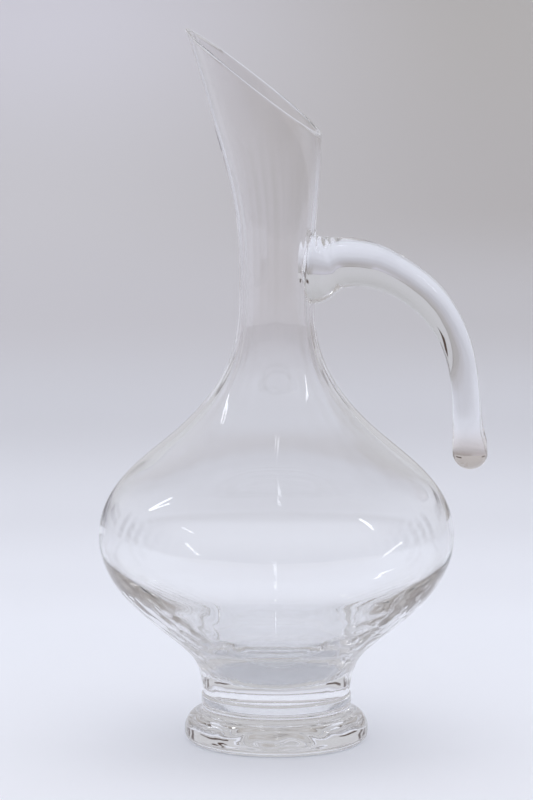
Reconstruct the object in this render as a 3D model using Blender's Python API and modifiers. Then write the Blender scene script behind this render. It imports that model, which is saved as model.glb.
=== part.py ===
"""A wine decanter in clear glass.

A blown bowl and neck with a slanted pouring mouth stands on a short thick stem,
a merese ring and a thick foot. The bottom of the bowl's hollow reaches down into the stem.
A solid handle, free at its lower end, springs from the neck.
Metres, +Z up. The origin is the centre of the foot's flat underside, and the lip points to -X.
"""

import math

import bmesh
import bpy
import numpy as np
from mathutils import Vector

MM = 0.001

# Driving dimensions
TOTAL_HEIGHT = 340 * MM        # foot's underside to the tip of the lip
FUSE_GAP = 0.3 * MM            # clearance kept between two fused pieces
ROUND_STEPS = 48               # facets round a turned piece
OUTER_STEPS = 38               # facets up the outside of the bowl and neck
CAVITY_STEPS = 34              # facets up the inside
FINE_STEPS = 400               # steps used only to read a radius off an outline
WELD = 0.01 * MM               # merge distance

FOOT_RADIUS = 43.4 * MM
FOOT_EDGE_ROUND = 4.0 * MM     # round between the underside and the foot's side
FOOT_SHOULDER_Z = 6.0 * MM     # where the side ends and the shoulder begins
FOOT_SHOULDER_HIGH = 8.0 * MM
FOOT_SHOULDER_WIDE = 6.6 * MM
FOOT_NECK_RADIUS = 35.0 * MM   # top of the foot, where the merese sits
FOOT_HEIGHT = 17.3 * MM

MERESE_RADIUS = 35.5 * MM
MERESE_BASE = FOOT_HEIGHT + FUSE_GAP
MERESE_TOP = 23.3 * MM
MERESE_ROUND = 1.6 * MM

STEM_BASE = MERESE_TOP + FUSE_GAP
STEM_TOP = 36.0 * MM
STEM_STEPS = 5
BOWL_BASE = STEM_TOP + FUSE_GAP

LEAN_START = 245 * MM          # above this height the neck leans towards the lip
LEAN_RATE = 1.8                # lean in metres for each square metre of height above the start
MOUTH_LOW_X = 20.8 * MM        # lowest point of the rim, on the handle's side
MOUTH_LOW_Z = 290 * MM
LIP_TIP_X = -42.8 * MM         # highest point of the rim

HANDLE_ROD_RADIUS = 6.9 * MM
HANDLE_BEVEL = 7               # bevel resolution: two fewer than half the sides
HANDLE_STEPS = 26              # stations along the handle before the knob
KNOB_CENTRE = (91.3 * MM, 138.6 * MM)
KNOB_RADIUS = 8.5 * MM
ROOT_NARROW = 0.72             # width over height of the handle where it meets the neck
ROOT_REACH = 45 * MM           # distance from the axis where the handle's section is round
ROOT_LOW = 190 * MM            # the part of the neck that trims the handle's root
ROOT_HIGH = 262 * MM
KNOB_STEPS = 7
KNOB_START = 12                # degrees below the knob's middle where it takes over from the rod
KNOB_END = 88

# Outlines, as (radius, height) in millimetres, from the bottom to the top
OUTER_OUTLINE = [
    (34.7, 23.6), (35.9, 31.5), (39.2, 39.5), (48.4, 49), (60.5, 59), (74.8, 73.5), (82.7, 89),
    (83.9, 101), (78.8, 117), (64.6, 133.5), (47.2, 148.5), (32.8, 164), (22.8, 181), (18.5, 198),
    (17.6, 216), (17.9, 237), (20.7, 263), (25.2, 295), (26.6, 320), (26.4, 348),
]
CAVITY_OUTLINE = [
    (0, 29.5), (10, 30.3), (18, 33.2), (25.5, 38.5), (33, 44.8), (42, 51.5), (51, 58), (60, 65),
    (72.8, 77.2), (80.5, 89), (81.7, 101), (76.5, 117.5), (62.4, 132.5), (44.9, 147), (30.6, 162.4),
    (20.6, 180.5), (16.4, 198), (15.5, 216), (15.9, 237), (18.9, 263), (23.7, 295), (25.3, 320),
    (25.1, 348),
]
# Centre line and half-height of the handle, as (x, z, half-height) in millimetres
HANDLE_LINE = [
    (4, 226.2, 19.0), (14, 226.6, 18.0), (20, 227.3, 15.6), (26, 228.0, 13.0), (34.5, 228.7, 11.7),
    (43, 227.7, 10.9), (55, 223.2, 9.6), (69, 213.7, 8.7), (79.4, 200.9, 7.7), (85.4, 187.5, 7.0),
    (88.4, 173.4, 6.7), (89.6, 160, 6.8), (90.3, 150, 7.3), (91.0, 143, 8.2),
]


def smooth_curve(points, steps):
    """A natural cubic curve through the points, in equal steps along their chords."""
    p = np.array(points, float)
    t = np.concatenate([[0.0], np.cumsum(np.linalg.norm(np.diff(p, axis=0), axis=1))])
    h = np.diff(t)
    matrix = np.eye(len(p))
    bend = np.zeros(p.shape)
    for i in range(1, len(p) - 1):
        matrix[i, i - 1:i + 2] = h[i - 1], 2 * (h[i - 1] + h[i]), h[i]
        bend[i] = 6 * ((p[i + 1] - p[i]) / h[i] - (p[i] - p[i - 1]) / h[i - 1])
    m = np.linalg.solve(matrix, bend)
    s = np.linspace(0.0, t[-1], steps + 1)
    k = np.clip(np.searchsorted(t, s, side="right") - 1, 0, len(h) - 1)
    span = h[k][:, None]
    u = (s - t[k])[:, None]
    v = span - u
    return (m[k] * v ** 3 + m[k + 1] * u ** 3) / (6 * span) \
        + (p[k] / span - m[k] * span / 6) * v + (p[k + 1] / span - m[k + 1] * span / 6) * u


def outline(points, steps):
    """Smooth (radius, height) points in metres from an outline in millimetres."""
    return [(max(r, 0.0) * MM, z * MM) for r, z in smooth_curve(points, steps)]


def arc(centre, radius_r, radius_z, start, end, steps):
    """Points on an elliptic arc in the (radius, height) plane, angles in degrees."""
    angles = [math.radians(start + (end - start) * i / steps) for i in range(steps + 1)]
    return [(centre[0] + radius_r * math.cos(a), centre[1] + radius_z * math.sin(a)) for a in angles]


def clear_scene():
    for obj in list(bpy.data.objects):
        bpy.data.objects.remove(obj)


def new_collection(name):
    collection = bpy.data.collections.new(name)
    bpy.context.scene.collection.children.link(collection)
    return collection


def glass(name, tint):
    """Clear glass with a faint tint."""
    material = bpy.data.materials.new(name)
    material.use_nodes = True
    shader = material.node_tree.nodes["Principled BSDF"]
    shader.inputs["Base Color"].default_value = (*tint, 1.0)
    shader.inputs["Roughness"].default_value = 0.02
    shader.inputs["Metallic"].default_value = 0.0
    shader.inputs["Transmission Weight"].default_value = 1.0
    shader.inputs["IOR"].default_value = 1.52
    return material


def turned(name, profile, collection, material=None):
    """A solid turned about Z from a (radius, height) profile that runs down its outer side."""
    mesh = bpy.data.meshes.new(name)
    edges = [(i, i + 1) for i in range(len(profile) - 1)]
    mesh.from_pydata([(r, 0.0, z) for r, z in profile], edges, [])
    obj = bpy.data.objects.new(name, mesh)
    collection.objects.link(obj)
    if material:
        mesh.materials.append(material)
    screw = obj.modifiers.new("turn", "SCREW")
    screw.axis = "Z"
    screw.angle = math.tau
    screw.steps = ROUND_STEPS
    screw.render_steps = ROUND_STEPS
    screw.use_merge_vertices = True
    screw.merge_threshold = WELD
    screw.use_smooth_shade = True
    return obj


def to_mesh(obj):
    """The object with its modifiers or curve turned into a plain welded mesh."""
    bpy.context.view_layer.update()
    evaluated = obj.evaluated_get(bpy.context.evaluated_depsgraph_get())
    mesh = bpy.data.meshes.new_from_object(evaluated)
    work = bmesh.new()
    work.from_mesh(mesh)
    bmesh.ops.remove_doubles(work, verts=work.verts, dist=WELD)
    work.to_mesh(mesh)
    work.free()
    result = bpy.data.objects.new(obj.name, mesh)
    result.matrix_world = obj.matrix_world
    for collection in obj.users_collection:
        collection.objects.link(result)
    name = obj.name
    bpy.data.objects.remove(obj)
    result.name = name
    return result


def hide_cutter(cutter):
    cutter.hide_render = True
    cutter.display_type = "WIRE"


def cut(obj, cutter):
    """Take the cutter's volume out of the object."""
    hide_cutter(cutter)
    boolean = obj.modifiers.new("cut_by_" + cutter.name, "BOOLEAN")
    boolean.operation = "DIFFERENCE"
    boolean.object = cutter


def shade(obj):
    obj.data.shade_smooth()
    obj.data.set_sharp_from_angle(angle=math.radians(40))


def make_foot(collection):
    """A thick disc with a flat underside, a rounded edge and a fillet up to the merese."""
    edge = (FOOT_RADIUS - FOOT_EDGE_ROUND, FOOT_EDGE_ROUND)
    shoulder = (FOOT_RADIUS - FOOT_SHOULDER_WIDE, FOOT_SHOULDER_Z)
    fillet_wide = shoulder[0] - FOOT_NECK_RADIUS
    fillet_high = FOOT_HEIGHT - FOOT_SHOULDER_Z - FOOT_SHOULDER_HIGH
    fillet = (shoulder[0], FOOT_HEIGHT)
    profile = [(0.0, FOOT_HEIGHT)]
    profile += arc(fillet, fillet_wide, fillet_high, 180, 270, 4)
    profile += arc(shoulder, FOOT_SHOULDER_WIDE, FOOT_SHOULDER_HIGH, 90, 0, 7)[1:]
    profile += arc(edge, FOOT_EDGE_ROUND, FOOT_EDGE_ROUND, 0, -90, 5)
    profile += [(0.0, 0.0)]
    return turned("foot", profile, collection, glass("foot_glass", (0.96, 0.97, 0.98)))


def make_merese(collection):
    """The flat button of glass that joins the stem to the foot, seen as a thin ring."""
    inner = MERESE_RADIUS - MERESE_ROUND
    profile = [(0.0, MERESE_TOP)]
    profile += arc((inner, MERESE_TOP - MERESE_ROUND), MERESE_ROUND, MERESE_ROUND, 90, 0, 4)
    profile += arc((inner, MERESE_BASE + MERESE_ROUND), MERESE_ROUND, MERESE_ROUND, 0, -90, 4)
    profile += [(0.0, MERESE_BASE)]
    return turned("merese", profile, collection, glass("merese_glass", (0.96, 0.97, 0.98)))


def radius_at(curve, height):
    """Radius of a smooth outline at a height, both in metres."""
    heights = [z for _, z in curve]
    radii = [r for r, _ in curve]
    return float(np.interp(height, heights, radii))


def make_stem(collection):
    """A short post that flares up into the bowl, with the bottom of the hollow let into its top."""
    curve = outline(OUTER_OUTLINE, FINE_STEPS)
    hollow_radius = radius_at(outline(CAVITY_OUTLINE, FINE_STEPS), STEM_TOP)
    cavity = outline(CAVITY_OUTLINE, CAVITY_STEPS)
    profile = [p for p in cavity if p[1] < STEM_TOP - 0.5 * MM] + [(hollow_radius, STEM_TOP)]
    for i in range(STEM_STEPS + 1):
        z = STEM_TOP + (STEM_BASE - STEM_TOP) * i / STEM_STEPS
        profile.append((radius_at(curve, z), z))
    profile += [(0.0, STEM_BASE)]
    return turned("stem", profile, collection, glass("stem_glass", (0.96, 0.97, 0.98)))


def lean_to_lip(obj):
    """Shift the upper neck smoothly towards the lip, as the pulled-out mouth does."""
    for vertex in obj.data.vertices:
        above = max(vertex.co.z - LEAN_START, 0.0)
        vertex.co.x -= LEAN_RATE * above ** 2


def mouth_cutter(collection):
    """A block whose lower face is the slanted plane of the mouth."""
    low = Vector((MOUTH_LOW_X, 0.0, MOUTH_LOW_Z))
    tip = Vector((LIP_TIP_X, 0.0, TOTAL_HEIGHT))
    slope = math.atan2(tip.z - low.z, low.x - tip.x)
    size = 0.2
    mesh = bpy.data.meshes.new("mouth_cutter")
    work = bmesh.new()
    bmesh.ops.create_cube(work, size=size)
    bmesh.ops.translate(work, verts=work.verts, vec=(0.0, 0.0, size / 2))
    work.to_mesh(mesh)
    work.free()
    cutter = bpy.data.objects.new("mouth_cutter", mesh)
    collection.objects.link(cutter)
    cutter.location = (low + tip) / 2
    cutter.rotation_euler = (0.0, slope, 0.0)
    return cutter


def make_bowl_and_neck(collection, cutters):
    """One blown piece, open below where it runs into the stem: wide bowl, narrow neck, slanted mouth."""
    above = BOWL_BASE + 1 * MM
    outer = [p for p in outline(OUTER_OUTLINE, OUTER_STEPS) if p[1] > above]
    cavity = [p for p in outline(CAVITY_OUTLINE, CAVITY_STEPS) if p[1] > above]
    outer_radius = radius_at(outline(OUTER_OUTLINE, FINE_STEPS), BOWL_BASE)
    inner_radius = radius_at(outline(CAVITY_OUTLINE, FINE_STEPS), BOWL_BASE)
    base = [(outer_radius, BOWL_BASE), (inner_radius, BOWL_BASE)]
    profile = base[1:] + cavity + outer[::-1] + base
    vessel = turned("bowl_and_neck", profile, collection, glass("bowl_glass", (0.97, 0.98, 0.98)))
    vessel = to_mesh(vessel)
    lean_to_lip(vessel)
    shade(vessel)
    cut(vessel, mouth_cutter(cutters))
    return vessel


def neck_cutter(collection):
    """The neck's outside, one fuse gap larger, that trims the handle's root."""
    curve = outline(OUTER_OUTLINE, OUTER_STEPS)
    wall = [(r + FUSE_GAP, z) for r, z in curve if ROOT_LOW < z < ROOT_HIGH]
    profile = [(0.0, wall[-1][1])] + wall[::-1] + [(0.0, wall[0][1])]
    cutter = to_mesh(turned("neck_cutter", profile, collection))
    lean_to_lip(cutter)
    return cutter


def handle_stations():
    """(x, z, half-height) along the handle, from the root to the end of the knob, in metres."""
    stations = [tuple(v * MM for v in s) for s in smooth_curve(HANDLE_LINE, HANDLE_STEPS)]
    for i in range(KNOB_STEPS + 1):
        angle = math.radians(KNOB_START + (KNOB_END - KNOB_START) * i / KNOB_STEPS)
        drop = KNOB_RADIUS * math.sin(angle)
        stations.append((KNOB_CENTRE[0], KNOB_CENTRE[1] - drop, KNOB_RADIUS * math.cos(angle)))
    return stations


def make_handle(collection, cutters):
    """A drawn solid rod: wide pad on the neck, free lower end rounded into a knob."""
    curve = bpy.data.curves.new("handle", "CURVE")
    curve.dimensions = "3D"
    curve.bevel_depth = HANDLE_ROD_RADIUS
    curve.bevel_resolution = HANDLE_BEVEL
    curve.use_fill_caps = True
    stations = handle_stations()
    spline = curve.splines.new("POLY")
    spline.points.add(len(stations) - 1)
    for point, (x, z, radius) in zip(spline.points, stations):
        point.co = (x, 0.0, z, 1.0)
        point.radius = radius / HANDLE_ROD_RADIUS
    curve.materials.append(glass("handle_glass", (0.97, 0.97, 0.98)))
    handle = bpy.data.objects.new("handle", curve)
    collection.objects.link(handle)
    handle = to_mesh(handle)
    for vertex in handle.data.vertices:
        outward = min(max(vertex.co.x / ROOT_REACH, 0.0), 1.0)
        vertex.co.y *= ROOT_NARROW + (1.0 - ROOT_NARROW) * outward
    shade(handle)
    cut(handle, neck_cutter(cutters))
    return handle


def main():
    clear_scene()
    decanter = new_collection("wine_decanter")
    cutters = new_collection("cutters")
    centre = bpy.data.objects.new("decanter_axis", None)
    decanter.objects.link(centre)
    pieces = [
        make_foot(decanter),
        make_merese(decanter),
        make_stem(decanter),
        make_bowl_and_neck(decanter, cutters),
        make_handle(decanter, cutters),
    ]
    for piece in pieces:
        piece.parent = centre


main()
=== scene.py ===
"""The wine decanter's looks: fine clear-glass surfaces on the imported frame, floor, light and camera."""

import math

import bmesh
import bpy
import numpy as np
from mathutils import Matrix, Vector


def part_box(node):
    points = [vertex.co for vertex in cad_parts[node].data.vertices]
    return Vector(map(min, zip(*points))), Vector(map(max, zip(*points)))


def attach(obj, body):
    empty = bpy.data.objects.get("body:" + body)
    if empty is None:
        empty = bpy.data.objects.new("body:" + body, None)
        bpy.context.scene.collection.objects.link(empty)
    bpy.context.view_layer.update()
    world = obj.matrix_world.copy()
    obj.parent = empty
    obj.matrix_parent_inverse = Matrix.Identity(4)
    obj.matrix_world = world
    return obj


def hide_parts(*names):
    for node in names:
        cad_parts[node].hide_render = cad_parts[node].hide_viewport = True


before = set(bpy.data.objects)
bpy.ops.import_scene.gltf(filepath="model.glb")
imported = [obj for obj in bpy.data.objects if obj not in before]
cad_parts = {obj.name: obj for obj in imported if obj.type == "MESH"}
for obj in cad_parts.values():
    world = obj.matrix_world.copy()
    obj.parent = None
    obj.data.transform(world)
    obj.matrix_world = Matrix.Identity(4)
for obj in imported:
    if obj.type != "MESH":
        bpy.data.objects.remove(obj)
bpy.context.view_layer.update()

MM = 0.001

# --- how finely the surfaces are drawn -------------------------------------------------------

COLUMNS = 240                  # facets round a turned piece
OUTLINE_STEPS = 1200
WALL_ROWS = 105                # rings of each side of the wall, below the leaning neck
NECK_ROWS = 70                 # rings of each side of the neck
RIM_ROWS = 10
HOLLOW_ROWS = 30               # rings of the hollow's bottom, in the stem
STEM_ROWS = 20
ARC_ROWS = 6                   # rings of each rounded edge of the merese
FILLET_ROWS = 8
SHOULDER_ROWS = 14
EDGE_ROWS = 10
MARK_ROWS = 60
HANDLE_ROWS = 150
HANDLE_SIDES = 64
KNOB_ROWS = 12
WELD = 0.002 * MM              # points nearer than this are one point
SHARP_EDGE = 35.0              # degrees

# --- shapes ----------------------------------------------------------------------------------

TOTAL_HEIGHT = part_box("bowl_and_neck")[1].z
BOWL_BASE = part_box("bowl_and_neck")[0].z
STEM_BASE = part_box("stem")[0].z
MERESE_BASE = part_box("merese")[0].z
SEAM_BELOW_STEM = 0.25 * MM    # the stem and the merese meet in the gap that CAD leaves between them
SEAM_RADIUS = 34.0 * MM        # where stem, merese and foot run into one another

# (radius, height) in mm
OUTER_OUTLINE = [
    (34.7, 23.6), (35.9, 31.5), (39.2, 39.5), (48.4, 49), (60.5, 59), (74.8, 73.5), (82.7, 89),
    (83.9, 101), (78.8, 117), (64.6, 133.5), (47.2, 148.5), (32.8, 164), (22.8, 181), (18.5, 198),
    (17.6, 216), (17.9, 237), (20.7, 263), (25.2, 295), (26.6, 320), (26.4, 348),
]
CAVITY_OUTLINE = [
    (0, 29.5), (10, 30.3), (18, 33.2), (25.5, 38.5), (33, 44.8), (42, 51.5), (51, 58), (60, 65),
    (72.8, 77.2), (80.5, 89), (81.7, 101), (76.5, 117.5), (62.4, 132.5), (44.9, 147), (30.6, 162.4),
    (20.6, 180.5), (16.4, 198), (15.5, 216), (15.9, 237), (18.9, 263), (23.7, 295), (25.3, 320),
    (25.1, 348),
]

NECK_START = 200 * MM
LEAN_START = 245 * MM          # the neck leans towards the lip above this height
LEAN_RATE = 1.8
MOUTH_LOW = (20.8 * MM, 290 * MM)      # (x, z) of the lowest point of the rim
LIP_TIP_X = -42.8 * MM
RIM_SEARCH = (260 * MM, 347 * MM)      # the rim lies between these heights
RIM_SEARCH_STEPS = 1500
RIM_ROUND = 0.6 * MM

# (x, z, half the rod's height across its line) in mm
HANDLE_LINE = [
    (4, 227.0, 17.5), (13, 227.2, 18.1), (17.5, 226.6, 17.6), (21, 226.8, 16.0), (26, 228.0, 13.1),
    (34.5, 228.7, 11.7), (43, 227.7, 10.9), (55, 223.2, 9.6), (69, 213.7, 8.7), (79.4, 200.9, 7.7),
    (85.4, 187.5, 7.0), (88.4, 173.4, 6.7), (89.6, 160, 6.8), (90.3, 150, 7.3), (91.0, 143, 8.2),
]
ROOT_NARROW = 0.63             # width over height of the handle where it meets the neck
ROOT_REACH = 45 * MM           # the handle is round beyond this distance from the axis
KNOB_CENTRE = (91.3 * MM, 138.6 * MM)  # (x, z)
KNOB_RADIUS = 8.5 * MM
KNOB_START = 12.0              # degrees below level where the knob takes over from the rod
CORE_SPAN = (190 * MM, 270 * MM)       # the stretch of neck that the handle's root is trimmed to
POCKET_DEPTH = 0.8 * MM        # of the unseen pocket in the neck's wall behind the handle's root

MERESE_RADIUS = 35.5 * MM
MERESE_ROUND = 1.6 * MM
MERESE_ARC = 80                # degrees
FOOT_RADIUS = 43.4 * MM
FOOT_EDGE_ROUND = 4.0 * MM
FOOT_SHOULDER = (6.6 * MM, 8.0 * MM, 6.0 * MM)   # wide, high, height where it begins
FOOT_NECK_RADIUS = 35.0 * MM
FILLET_START = 185             # degrees
MARK_RADIUS = 22.0 * MM        # the working rod's mark under the foot
MARK_DEPTH = 1.2 * MM
MARK_RINGS = 5
MARK_RING_DEPTH = 0.22 * MM

# --- the unevenness of hand-worked glass -----------------------------------------------------

# heights in mm, and the depth in mm at each
BASE_RIPPLE_INSIDE = ([30, 36, 64, 84], [0.0, 1.2, 1.0, 0.0])
BASE_RIPPLE_OUTSIDE = ([24, 34, 55, 80], [0.0, 0.45, 0.40, 0.0])
FOOT_RIPPLE = ([0, 3, 11, 14], [0.0, 0.14, 0.14, 0.0])
NECK_RIPPLE = ([120, 165, 255, 295], [0.0, 0.11, 0.09, 0.0])
# waves are (count round the piece, twist in radians per metre of height, phase)
BASE_WAVES = [
    (5, 90.0, 0.3), (9, -60.0, 1.9), (14, 140.0, 4.1), (23, -110.0, 2.2), (37, 300.0, 0.9),
    (4, 700.0, 5.2), (8, -900.0, 2.6),
]
FOOT_WAVES = [(4, 200.0, 1.3), (9, -350.0, 0.4), (15, 500.0, 3.6)]
NECK_WAVES = [(6, 5.0, 0.8), (11, -4.0, 2.9), (17, 3.0, 5.0), (27, -2.0, 1.1)]
SIDE_BIAS = 2.5                # the base is more uneven on the lip's and the handle's sides

ANGLES = np.arange(COLUMNS) * math.tau / COLUMNS


def smooth_curve(points, steps):
    """A natural cubic curve through the points, in equal steps along their chords."""
    p = np.array(points, float)
    t = np.concatenate([[0.0], np.cumsum(np.linalg.norm(np.diff(p, axis=0), axis=1))])
    h = np.diff(t)
    matrix = np.eye(len(p))
    bend = np.zeros(p.shape)
    for i in range(1, len(p) - 1):
        matrix[i, i - 1:i + 2] = h[i - 1], 2 * (h[i - 1] + h[i]), h[i]
        bend[i] = 6 * ((p[i + 1] - p[i]) / h[i] - (p[i] - p[i - 1]) / h[i - 1])
    m = np.linalg.solve(matrix, bend)
    s = np.linspace(0.0, t[-1], steps + 1)
    k = np.clip(np.searchsorted(t, s, side="right") - 1, 0, len(h) - 1)
    span = h[k][:, None]
    u = (s - t[k])[:, None]
    v = span - u
    return (m[k] * v ** 3 + m[k + 1] * u ** 3) / (6 * span) \
        + (p[k] / span - m[k] * span / 6) * v + (p[k + 1] / span - m[k + 1] * span / 6) * u


def arc(centre, radius_r, radius_z, start, end, steps):
    """Points (radius, height) of an arc of an ellipse between two angles in degrees."""
    angles = [math.radians(start + (end - start) * i / steps) for i in range(steps + 1)]
    return [(centre[0] + radius_r * math.cos(a), centre[1] + radius_z * math.sin(a)) for a in angles]


OUTER = smooth_curve(OUTER_OUTLINE, OUTLINE_STEPS) * MM
CAVITY = np.maximum(smooth_curve(CAVITY_OUTLINE, OUTLINE_STEPS) * MM, 0.0)


def radius_at(curve, z):
    return np.interp(z, curve[:, 1], curve[:, 0])


def lean(z):
    return -LEAN_RATE * np.maximum(z - LEAN_START, 0.0) ** 2


# --- node helpers ----------------------------------------------------------------------------

def new_material(name):
    material = bpy.data.materials.new(name)
    material.use_nodes = True
    return material, material.node_tree.nodes, material.node_tree.links


def between(nodes, links, value, start, end):
    """0 at the start value, 1 at the end value, in proportion between."""
    node = nodes.new("ShaderNodeMapRange")
    node.inputs["From Min"].default_value = start
    node.inputs["From Max"].default_value = end
    links.new(value, node.inputs["Value"])
    return node


def fade(nodes, links, value, start, end):
    """0 at the start value, 1 at the end value, eased between."""
    node = between(nodes, links, value, start, end)
    node.interpolation_type = "SMOOTHSTEP"
    return node.outputs[0]


def colour_mix(nodes, links, factor, first, second):
    """Mix two colours; either may be a tuple or another node's colour."""
    node = nodes.new("ShaderNodeMix")
    node.data_type = "RGBA"
    links.new(factor, node.inputs[0])
    for socket, colour in ((6, first), (7, second)):
        if isinstance(colour, tuple):
            node.inputs[socket].default_value = (*colour, 1.0)
        else:
            links.new(colour, node.inputs[socket])
    return node.outputs[2]


def combine(nodes, links, operation, first, second):
    """One sum on two values, kept between 0 and 1 where it adds."""
    node = nodes.new("ShaderNodeMath")
    node.operation = operation
    node.use_clamp = operation == "ADD"
    links.new(first, node.inputs[0])
    links.new(second, node.inputs[1])
    return node.outputs[0]


# --- glass -----------------------------------------------------------------------------------

def clear_glass(name, colour_below, colour_above, colour_heights, ripple_scale, ripple_depth):
    """Clear glass with a faint colour that changes with height, and a faintly rippled surface; where the
    colour darkens the neck or the handle's knob, it is painted shade.
    """
    material, nodes, links = new_material(name)
    shader = nodes["Principled BSDF"]
    shader.inputs["Transmission Weight"].default_value = 1.0
    shader.inputs["IOR"].default_value = 1.52
    shader.inputs["Roughness"].default_value = 0.0
    place = nodes.new("ShaderNodeTexCoord").outputs["Object"]
    split = nodes.new("ShaderNodeSeparateXYZ")
    links.new(place, split.inputs[0])
    height = fade(nodes, links, split.outputs["Z"], *colour_heights)
    height_colour = colour_mix(nodes, links, height, colour_below, colour_above)
    links.new(height_colour, shader.inputs["Base Color"])
    noise = nodes.new("ShaderNodeTexNoise")
    noise.inputs["Scale"].default_value = ripple_scale
    noise.inputs["Detail"].default_value = 1.0
    links.new(place, noise.inputs["Vector"])
    bump = nodes.new("ShaderNodeBump")
    bump.inputs["Strength"].default_value = 1.0
    bump.inputs["Distance"].default_value = ripple_depth
    links.new(noise.outputs["Fac"], bump.inputs["Height"])
    links.new(bump.outputs["Normal"], shader.inputs["Normal"])
    return material


def fused_seam():
    """The place where two pieces of glass are one: nothing shows there."""
    material, nodes, _ = new_material("fused_seam")
    nodes["Principled BSDF"].inputs["Alpha"].default_value = 0.0
    return material


SEAM = fused_seam()
# painted shade: above the shoulder the neck's glass is made greyer and warmer than the bowl
BOWL_GLASS = clear_glass(
    "bowl_glass", colour_below=(0.998, 0.999, 1.0), colour_above=(0.962, 0.953, 0.950),
    colour_heights=(155 * MM, 190 * MM), ripple_scale=22.0, ripple_depth=0.4 * MM)
BASE_GLASS = clear_glass(
    "base_glass", colour_below=(0.990, 0.988, 0.986), colour_above=(0.998, 0.998, 1.0),
    colour_heights=(0.0, 30 * MM), ripple_scale=40.0, ripple_depth=0.3 * MM)
# painted shade: the knob at the handle's lower end is made browner and darker than the clear rod
HANDLE_GLASS = clear_glass(
    "handle_glass", colour_below=(0.80, 0.74, 0.70), colour_above=(0.91, 0.91, 0.92),
    colour_heights=(137 * MM, 152 * MM), ripple_scale=60.0, ripple_depth=0.3 * MM)


# --- rings and meshes ------------------------------------------------------------------------

def grid_object(name, rings, seams, materials):
    """A closed mesh through rings of points; seams are the ring intervals that show nothing."""
    columns = len(rings[0])
    verts = [tuple(point) for ring in rings for point in ring]
    faces = []
    slots = []
    for i in range(len(rings) - 1):
        low, high = i * columns, (i + 1) * columns
        for j in range(columns):
            k = (j + 1) % columns
            faces.append((low + j, low + k, high + k, high + j))
            slots.append(1 if i in seams else 0)
    mesh = bpy.data.meshes.new(name)
    mesh.from_pydata(verts, [], faces)
    mesh.polygons.foreach_set("material_index", slots)
    for material in materials:
        mesh.materials.append(material)
    work = bmesh.new()
    work.from_mesh(mesh)
    bmesh.ops.remove_doubles(work, verts=work.verts, dist=WELD)
    bmesh.ops.recalc_face_normals(work, faces=work.faces)
    work.to_mesh(mesh)
    work.free()
    obj = bpy.data.objects.new(name, mesh)
    bpy.context.scene.collection.objects.link(obj)
    return obj


def uneven(angles, z, ripple, waves):
    """How far the surface stands out from its round shape at these angles and heights."""
    heights, depths = ripple
    total = sum(np.sin(count * angles + twist * z + phase) for count, twist, phase in waves)
    return np.interp(z / MM, heights, depths) * MM * total / len(waves)


def sideways(angles):
    return np.abs(np.cos(angles)) ** SIDE_BIAS


def inner_ripple(angles, z):
    low = uneven(angles, z, BASE_RIPPLE_INSIDE, BASE_WAVES) * sideways(angles)
    return low + uneven(angles, z, NECK_RIPPLE, NECK_WAVES)


def outer_ripple(angles, z):
    return uneven(angles, z, BASE_RIPPLE_OUTSIDE, BASE_WAVES) * sideways(angles)


def foot_ripple(angles, z):
    return uneven(angles, z, FOOT_RIPPLE, FOOT_WAVES)


def ring_at(r, z, ripple=None):
    """A ring round the leaning axis; radius and height are one value or one for each column."""
    level = np.broadcast_to(z, COLUMNS)
    if ripple is not None:
        r = r + ripple(ANGLES, level)
    return np.stack([lean(level) + r * np.cos(ANGLES), r * np.sin(ANGLES), level], axis=1)


def closing_point(ring):
    """A ring drawn together to its middle, which closes an end."""
    return np.tile(ring.mean(axis=0), (len(ring), 1))


def turned(name, profile, seams, materials):
    """A turned piece; the profile's rows are radius, height and, where the wall is uneven, its ripple."""
    return grid_object(name, [ring_at(*row) for row in profile], seams, materials)


def thinned(curve, low, high, count):
    """About count rows of the curve between two heights, ends left out."""
    rows = curve[(curve[:, 1] > low) & (curve[:, 1] < high)]
    return rows[::max(1, len(rows) // count)]


# --- the bowl and neck -----------------------------------------------------------------------

def rim_height(curve, angle, drop):
    """Height where one side of the wall meets the slanted plane of the mouth, let down by drop."""
    low_x, low_z = MOUTH_LOW
    rise = (TOTAL_HEIGHT - low_z) / (low_x - LIP_TIP_X)
    z = np.linspace(*RIM_SEARCH, RIM_SEARCH_STEPS)
    x = lean(z) + radius_at(curve, z) * math.cos(angle)
    plane = low_z + (low_x - x) * rise - drop
    return z[np.argmax(z >= plane)]


def mouth_heights(curve, drop):
    """Height of the wall's edge at each column, smoothed over its neighbours."""
    tops = np.array([rim_height(curve, angle, drop) for angle in ANGLES])
    return (tops + np.roll(tops, 1) + np.roll(tops, -1)) / 3


def neck_rings(curve, tops, ripple=None):
    """Rings from the start of the neck up to the slanted mouth."""
    rings = []
    for t in np.linspace(0.0, 1.0, NECK_ROWS):
        z = NECK_START + (tops - NECK_START) * t
        rings.append(ring_at(radius_at(curve, z), z, ripple))
    return rings


def rim_rings(inner, outer, normal):
    """The fire-polished rim: a half round from the inner edge over to the outer edge."""
    middle = (inner + outer) / 2
    half = outer - middle
    turns = [math.pi * (1 - i / RIM_ROWS) for i in range(1, RIM_ROWS)]
    return [middle + half * math.cos(a) + normal * RIM_ROUND * math.sin(a) for a in turns]


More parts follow.
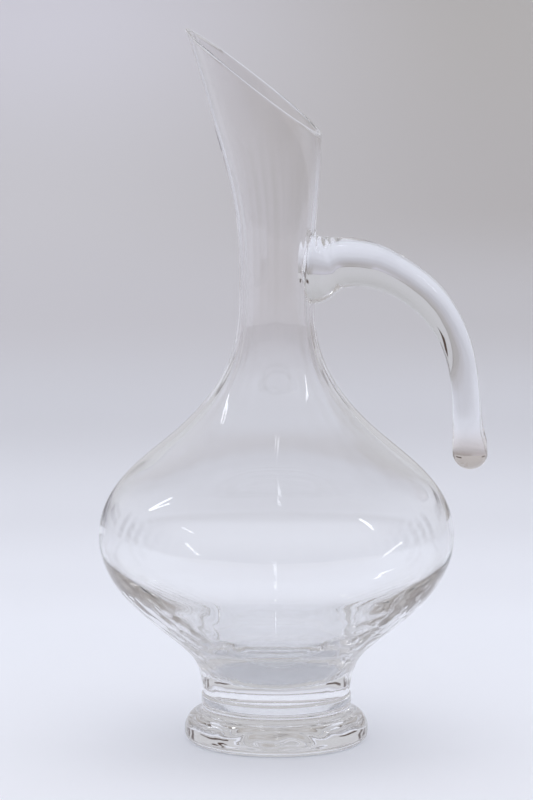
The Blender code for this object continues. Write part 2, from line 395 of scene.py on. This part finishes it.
def make_bowl_and_neck():
    """One wall: up the hollow, over the rim, down the outside, and closed where it meets the stem."""
    slope = math.atan2(TOTAL_HEIGHT - MOUTH_LOW[1], MOUTH_LOW[0] - LIP_TIP_X)
    normal = np.array([math.sin(slope), 0.0, math.cos(slope)])
    drop = RIM_ROUND / math.cos(slope)
    inner = neck_rings(CAVITY, mouth_heights(CAVITY, drop), inner_ripple)
    outer = neck_rings(OUTER, mouth_heights(OUTER, drop))
    rings = [ring_at(radius_at(CAVITY, BOWL_BASE), BOWL_BASE, inner_ripple)]
    rings += [ring_at(r, z, inner_ripple) for r, z in thinned(CAVITY, BOWL_BASE, NECK_START, WALL_ROWS)]
    rings += inner
    rings += rim_rings(inner[-1], outer[-1], normal)
    rings += outer[::-1]
    below = thinned(OUTER, BOWL_BASE, NECK_START, WALL_ROWS)[::-1]
    rings += [ring_at(r, z, outer_ripple) for r, z in below]
    rings.append(ring_at(radius_at(OUTER, BOWL_BASE), BOWL_BASE, outer_ripple))
    rings.append(rings[0])
    return grid_object("bowl_and_neck_glass", rings, {len(rings) - 2}, [BOWL_GLASS, SEAM])


# --- the stem, merese and foot ---------------------------------------------------------------

def make_stem():
    """The glass under the bowl, with the bottom of the hollow let into its top."""
    seam_z = STEM_BASE - SEAM_BELOW_STEM
    profile = [(0.0, CAVITY[0, 1])]
    profile += [(r, z, inner_ripple) for r, z in thinned(CAVITY, CAVITY[0, 1], BOWL_BASE, HOLLOW_ROWS)]
    profile.append((radius_at(CAVITY, BOWL_BASE), BOWL_BASE, inner_ripple))
    bowl_seam = len(profile) - 1
    heights = np.linspace(BOWL_BASE, STEM_BASE, STEM_ROWS)
    profile += [(radius_at(OUTER, z), z, outer_ripple) for z in heights]
    profile += [(SEAM_RADIUS, seam_z), (0.0, seam_z)]
    return turned("stem_glass", profile, {bowl_seam, len(profile) - 2}, [BASE_GLASS, SEAM])


def make_merese():
    """A thin disc with two rounded edges."""
    top, bottom = STEM_BASE - SEAM_BELOW_STEM, MERESE_BASE
    inner = MERESE_RADIUS - MERESE_ROUND
    profile = [(0.0, top), (SEAM_RADIUS, top)]
    profile += arc((inner, top - MERESE_ROUND), MERESE_ROUND, MERESE_ROUND, MERESE_ARC, 0, ARC_ROWS)
    profile += arc((inner, bottom + MERESE_ROUND), MERESE_ROUND, MERESE_ROUND, 0, -MERESE_ARC, ARC_ROWS)
    profile += [(SEAM_RADIUS, bottom), (0.0, bottom)]
    return turned("merese_glass", profile, {0, len(profile) - 2}, [BASE_GLASS, SEAM])


def underside():
    """The underside from its edge to its middle: flat, then the shallow ringed mark of the working rod."""
    rows = []
    for r in np.linspace(MARK_RADIUS, 0.0, MARK_ROWS):
        t = 1 - r / MARK_RADIUS
        hollow = MARK_DEPTH * t * t * (3 - 2 * t)
        rings = MARK_RING_DEPTH * math.sin(t * MARK_RINGS * math.tau) * t
        rows.append((r, max(hollow + rings, 0.0)))
    return rows


def make_foot():
    """A thick disc: a fillet under the merese, a sloping shoulder and a rounded lower edge."""
    wide, high, begin = FOOT_SHOULDER
    top = MERESE_BASE
    edge = (FOOT_RADIUS - FOOT_EDGE_ROUND, FOOT_EDGE_ROUND)
    shoulder = (FOOT_RADIUS - wide, begin)
    fillet = (shoulder[0] - FOOT_NECK_RADIUS, top - begin - high)
    profile = [(0.0, top), (SEAM_RADIUS, top)]
    profile += arc((shoulder[0], top), *fillet, FILLET_START, 270, FILLET_ROWS)
    side = arc(shoulder, wide, high, 90, 0, SHOULDER_ROWS)[1:]
    side += arc(edge, FOOT_EDGE_ROUND, FOOT_EDGE_ROUND, 0, -90, EDGE_ROWS)
    profile += [(r, z, foot_ripple) for r, z in side]
    profile += underside()
    return turned("foot_glass", profile, {0}, [BASE_GLASS, SEAM])


# --- the handle ------------------------------------------------------------------------------

def rod_rings(around):
    """Rings square to the handle's line, narrowed from front to back near the neck."""
    line = smooth_curve(HANDLE_LINE, HANDLE_ROWS) * MM
    rings = []
    for i, (x, z, half) in enumerate(line):
        before, after = line[max(i - 1, 0)], line[min(i + 1, len(line) - 1)]
        along = Vector((after[0] - before[0], 0.0, after[1] - before[1])).normalized()
        across = Vector((-along.z, 0.0, along.x))
        width = half * (ROOT_NARROW + (1 - ROOT_NARROW) * min(x / ROOT_REACH, 1.0))
        reach = half * np.cos(around)
        rings.append(np.stack([x + across.x * reach, width * np.sin(around), z + across.z * reach], axis=1))
    return rings


def knob_rings(around):
    """The rounded lower end of the handle."""
    rings = []
    for i in range(KNOB_ROWS + 1):
        a = math.radians(KNOB_START + (90 - KNOB_START) * i / KNOB_ROWS)
        r = KNOB_RADIUS * math.cos(a)
        level = np.full(len(around), KNOB_CENTRE[1] - KNOB_RADIUS * math.sin(a))
        rings.append(np.stack([KNOB_CENTRE[0] + r * np.cos(around), r * np.sin(around), level], axis=1))
    return rings


def make_handle_solid(name, materials):
    """The handle before its root is trimmed to the neck."""
    around = np.arange(HANDLE_SIDES) * math.tau / HANDLE_SIDES
    rod = rod_rings(around)
    rings = [closing_point(rod[0])] + rod + knob_rings(around)
    return grid_object(name, rings, set(), materials)


def make_neck_core(name, inset):
    """A stretch of the neck as a solid core, smaller than the neck by inset."""
    low, high = CORE_SPAN
    rows = OUTER[(OUTER[:, 1] > low) & (OUTER[:, 1] < high)][::3]
    rings = [ring_at(r - inset, z) for r, z in rows]
    rings = [closing_point(rings[0])] + rings + [closing_point(rings[-1])]
    return grid_object(name, rings, set(), [SEAM])


def subtract(obj, cutter):
    """Cut one mesh out of another; the cut faces keep the cutter's material."""
    boolean = obj.modifiers.new("trim", "BOOLEAN")
    boolean.operation = "DIFFERENCE"
    boolean.solver = "EXACT"
    boolean.material_mode = "TRANSFER"
    boolean.object = cutter
    bpy.context.view_layer.update()
    evaluated = obj.evaluated_get(bpy.context.evaluated_depsgraph_get())
    mesh = bpy.data.meshes.new_from_object(evaluated)
    obj.modifiers.clear()
    obj.data = mesh


def make_handle(vessel):
    """The handle, trimmed to the neck, with an unseen pocket behind its root in the vessel's wall."""
    handle = make_handle_solid("handle_glass", [HANDLE_GLASS, SEAM])
    plug = make_handle_solid("root_plug", [SEAM])
    core = make_neck_core("neck_core", 0.0)
    inner_core = make_neck_core("neck_inner_core", POCKET_DEPTH)
    subtract(plug, inner_core)
    subtract(handle, core)
    subtract(vessel, plug)
    for cutter in (core, inner_core, plug):
        bpy.data.objects.remove(cutter)
    return handle


def put_on_frame(piece, node):
    """Smooth a piece and let it stand in for its CAD node."""
    piece.data.shade_smooth()
    piece.data.set_sharp_from_angle(angle=math.radians(SHARP_EDGE))
    piece.visible_shadow = False
    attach(piece, "root")
    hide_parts(node)


bowl_and_neck = make_bowl_and_neck()
handle = make_handle(bowl_and_neck)
put_on_frame(bowl_and_neck, "bowl_and_neck")
put_on_frame(make_stem(), "stem")
put_on_frame(make_merese(), "merese")
put_on_frame(make_foot(), "foot")
put_on_frame(handle, "handle")


# --- floor -----------------------------------------------------------------------------------

FLOOR_HALF_SIZE = 5.5
FLOOR_DROP = 0.2 * MM
FLOOR_NEAR = -1.1              # the floor's colours run from here to FLOOR_FAR, in metres behind the object
FLOOR_FAR = 2.9
FLOOR_TURN = 0.2               # the left colours give way to the right ones within this of the middle
# painted light and shade on the floor: a bright bluish pool at the object, darker in front of it and greyer
# far behind, greyest far behind on the right
FLOOR_PAINTED_LIGHT = [
    (0.000, (0.600, 0.585, 0.590)),
    (0.038, (0.610, 0.595, 0.600)),
    (0.150, (0.800, 0.820, 0.900)),
    (0.275, (0.845, 0.875, 0.965)),
    (0.338, (0.810, 0.845, 0.940)),
    (0.373, (0.770, 0.800, 0.890)),
    (0.415, (0.705, 0.730, 0.810)),
    (0.490, (0.595, 0.610, 0.675)),
]
FLOOR_PAINTED_LIGHT_LEFT = FLOOR_PAINTED_LIGHT + [
    (0.580, (0.550, 0.550, 0.600)),
    (0.700, (0.565, 0.565, 0.610)),
    (0.963, (0.625, 0.625, 0.700)),
]
FLOOR_PAINTED_LIGHT_RIGHT = FLOOR_PAINTED_LIGHT + [
    (0.580, (0.515, 0.515, 0.555)),
    (0.700, (0.450, 0.440, 0.455)),
    (0.963, (0.460, 0.450, 0.455)),
]


def colour_ramp(nodes, links, factor, stops):
    ramp = nodes.new("ShaderNodeValToRGB")
    ramp.color_ramp.interpolation = "EASE"
    elements = ramp.color_ramp.elements
    while len(elements) < len(stops):
        elements.new(0.5)
    for element, (place, colour) in zip(elements, stops):
        element.position = place
        element.color = (*colour, 1.0)
    links.new(factor, ramp.inputs[0])
    return ramp.outputs[0]


def pale_floor():
    """Painted light and shade: bluish and brightest near the object like a pool of light, greyer in front
    of it, greyer far behind it, greyest far behind on the right.
    """
    material, nodes, links = new_material("pale_floor")
    shader = nodes["Principled BSDF"]
    shader.inputs["Roughness"].default_value = 0.7
    shader.inputs["Specular IOR Level"].default_value = 0.0
    split = nodes.new("ShaderNodeSeparateXYZ")
    links.new(nodes.new("ShaderNodeNewGeometry").outputs["Position"], split.inputs[0])
    away = between(nodes, links, split.outputs["Y"], FLOOR_NEAR, FLOOR_FAR).outputs[0]
    aside = fade(nodes, links, split.outputs["X"], -FLOOR_TURN, FLOOR_TURN)
    left = colour_ramp(nodes, links, away, FLOOR_PAINTED_LIGHT_LEFT)
    right = colour_ramp(nodes, links, away, FLOOR_PAINTED_LIGHT_RIGHT)
    links.new(colour_mix(nodes, links, aside, left, right), shader.inputs["Base Color"])
    return material


def make_floor():
    mesh = bpy.data.meshes.new("floor")
    work = bmesh.new()
    bmesh.ops.create_grid(work, x_segments=1, y_segments=1, size=FLOOR_HALF_SIZE)
    work.to_mesh(mesh)
    work.free()
    floor = bpy.data.objects.new("floor", mesh)
    bpy.context.scene.collection.objects.link(floor)
    mesh.materials.append(pale_floor())
    floor.location.z = -FLOOR_DROP


# --- the room that the glass mirrors ---------------------------------------------------------

# (lowest colour, highest colour, sine of the elevation where the highest is reached)
WALL_BEHIND = ((0.60, 0.60, 0.63), (0.54, 0.54, 0.56), 0.5)
ROOM_IN_FRONT = ((0.13, 0.10, 0.08), (0.46, 0.44, 0.43), 0.6)
WALL_TURN = (-0.1, 0.35)       # the room gives way to the wall between these, -1 in front and 1 behind
PANEL_EDGE = 0.01              # half the width of a panel's soft edge, in radians or sines

# panels are (azimuth of the centre, width, lowest and highest elevation) in degrees;
# azimuth 0 is behind the object and 90 to its right
WINDOWS = [
    (-68, 2, 30, 44),
    (106, 2, 30, 44),
    (172, 10, 81, 84),         # a lamp in the ceiling
]
WINDOW_COLOUR = (8.0, 8.2, 8.6)
UPRIGHTS = [(side * azimuth, 5, -2, 16) for side in (-1, 1) for azimuth in range(58, 113, 9)]
FURNITURE = [
    (-150, 34, -2, 9),
    (140, 44, -2, 11),
    (-40, 18, 3, 7),
    (34, 22, 4, 8),
]
DARK_COLOUR = (0.06, 0.030, 0.016)


def band(nodes, links, value, low, high):
    """1 between two values and 0 outside them, with soft edges."""
    start = fade(nodes, links, value, low - PANEL_EDGE, low + PANEL_EDGE)
    end = fade(nodes, links, value, high + PANEL_EDGE, high - PANEL_EDGE)
    return combine(nodes, links, "MULTIPLY", start, end)


def panels(nodes, links, azimuth, rise, places):
    """1 on any of the panels and 0 elsewhere."""
    total = None
    for centre, width, low, high in places:
        left, right = math.radians(centre - width / 2), math.radians(centre + width / 2)
        across = band(nodes, links, azimuth, left, right)
        up = band(nodes, links, rise, math.sin(math.radians(low)), math.sin(math.radians(high)))
        panel = combine(nodes, links, "MULTIPLY", across, up)
        total = panel if total is None else combine(nodes, links, "ADD", total, panel)
    return total


def make_world():
    """A pale wall behind, a dimmer room in front, dark uprights and furniture, and small windows."""
    world = bpy.data.worlds.new("studio")
    bpy.context.scene.world = world
    world.use_nodes = True
    nodes, links = world.node_tree.nodes, world.node_tree.links
    split = nodes.new("ShaderNodeSeparateXYZ")
    links.new(nodes.new("ShaderNodeTexCoord").outputs["Generated"], split.inputs[0])
    x, y, z = split.outputs
    azimuth = combine(nodes, links, "ARCTAN2", x, y)
    shades = []
    for low_colour, high_colour, top in (ROOM_IN_FRONT, WALL_BEHIND):
        shades.append(colour_mix(nodes, links, fade(nodes, links, z, 0.0, top), low_colour, high_colour))
    colour = colour_mix(nodes, links, fade(nodes, links, y, *WALL_TURN), *shades)
    for places, shade in ((UPRIGHTS + FURNITURE, DARK_COLOUR), (WINDOWS, WINDOW_COLOUR)):
        colour = colour_mix(nodes, links, panels(nodes, links, azimuth, z, places), colour, shade)
    links.new(colour, nodes["Background"].inputs["Color"])


# --- light and camera ------------------------------------------------------------------------

LIGHT_PLACE = (0.0, 0.5, 2.4)
LIGHT_SIZE = 9.0
LIGHT_POWER = 160
CAMERA_ELEVATION = 10.2        # degrees
CAMERA_DISTANCE = 3.4
CAMERA_TARGET = Vector((-4.7 * MM, -1.2 * MM, 163.35 * MM))
CAMERA_LENS = 325.06
CAMERA_SENSOR = 36.0
CAMERA_SIGHT = 100.0
BOUNCES = 96                   # light runs far along the thick walls before it leaves them
CLEAR_BOUNCES = 32


def make_light():
    """A wide even light overhead, which the glass doesn't mirror."""
    data = bpy.data.lights.new("overhead", "AREA")
    data.shape = "SQUARE"
    data.size = LIGHT_SIZE
    data.energy = LIGHT_POWER
    light = bpy.data.objects.new("overhead", data)
    bpy.context.scene.collection.objects.link(light)
    light.location = LIGHT_PLACE
    light.visible_glossy = False
    light.visible_transmission = False


def make_camera():
    elevation = math.radians(CAMERA_ELEVATION)
    back = Vector((0.0, -math.cos(elevation), math.sin(elevation)))
    data = bpy.data.cameras.new("camera")
    data.lens = CAMERA_LENS
    data.sensor_width = CAMERA_SENSOR
    data.clip_end = CAMERA_SIGHT
    camera = bpy.data.objects.new("camera", data)
    bpy.context.scene.collection.objects.link(camera)
    camera.location = CAMERA_TARGET + back * CAMERA_DISTANCE
    camera.rotation_euler = (-back).to_track_quat("-Z", "Y").to_euler()
    bpy.context.scene.camera = camera


make_floor()
make_world()
make_light()
make_camera()
scene = bpy.context.scene
scene.view_settings.view_transform = "Standard"
scene.cycles.max_bounces = BOUNCES
scene.cycles.transmission_bounces = BOUNCES
scene.cycles.glossy_bounces = BOUNCES
scene.cycles.transparent_max_bounces = CLEAR_BOUNCES
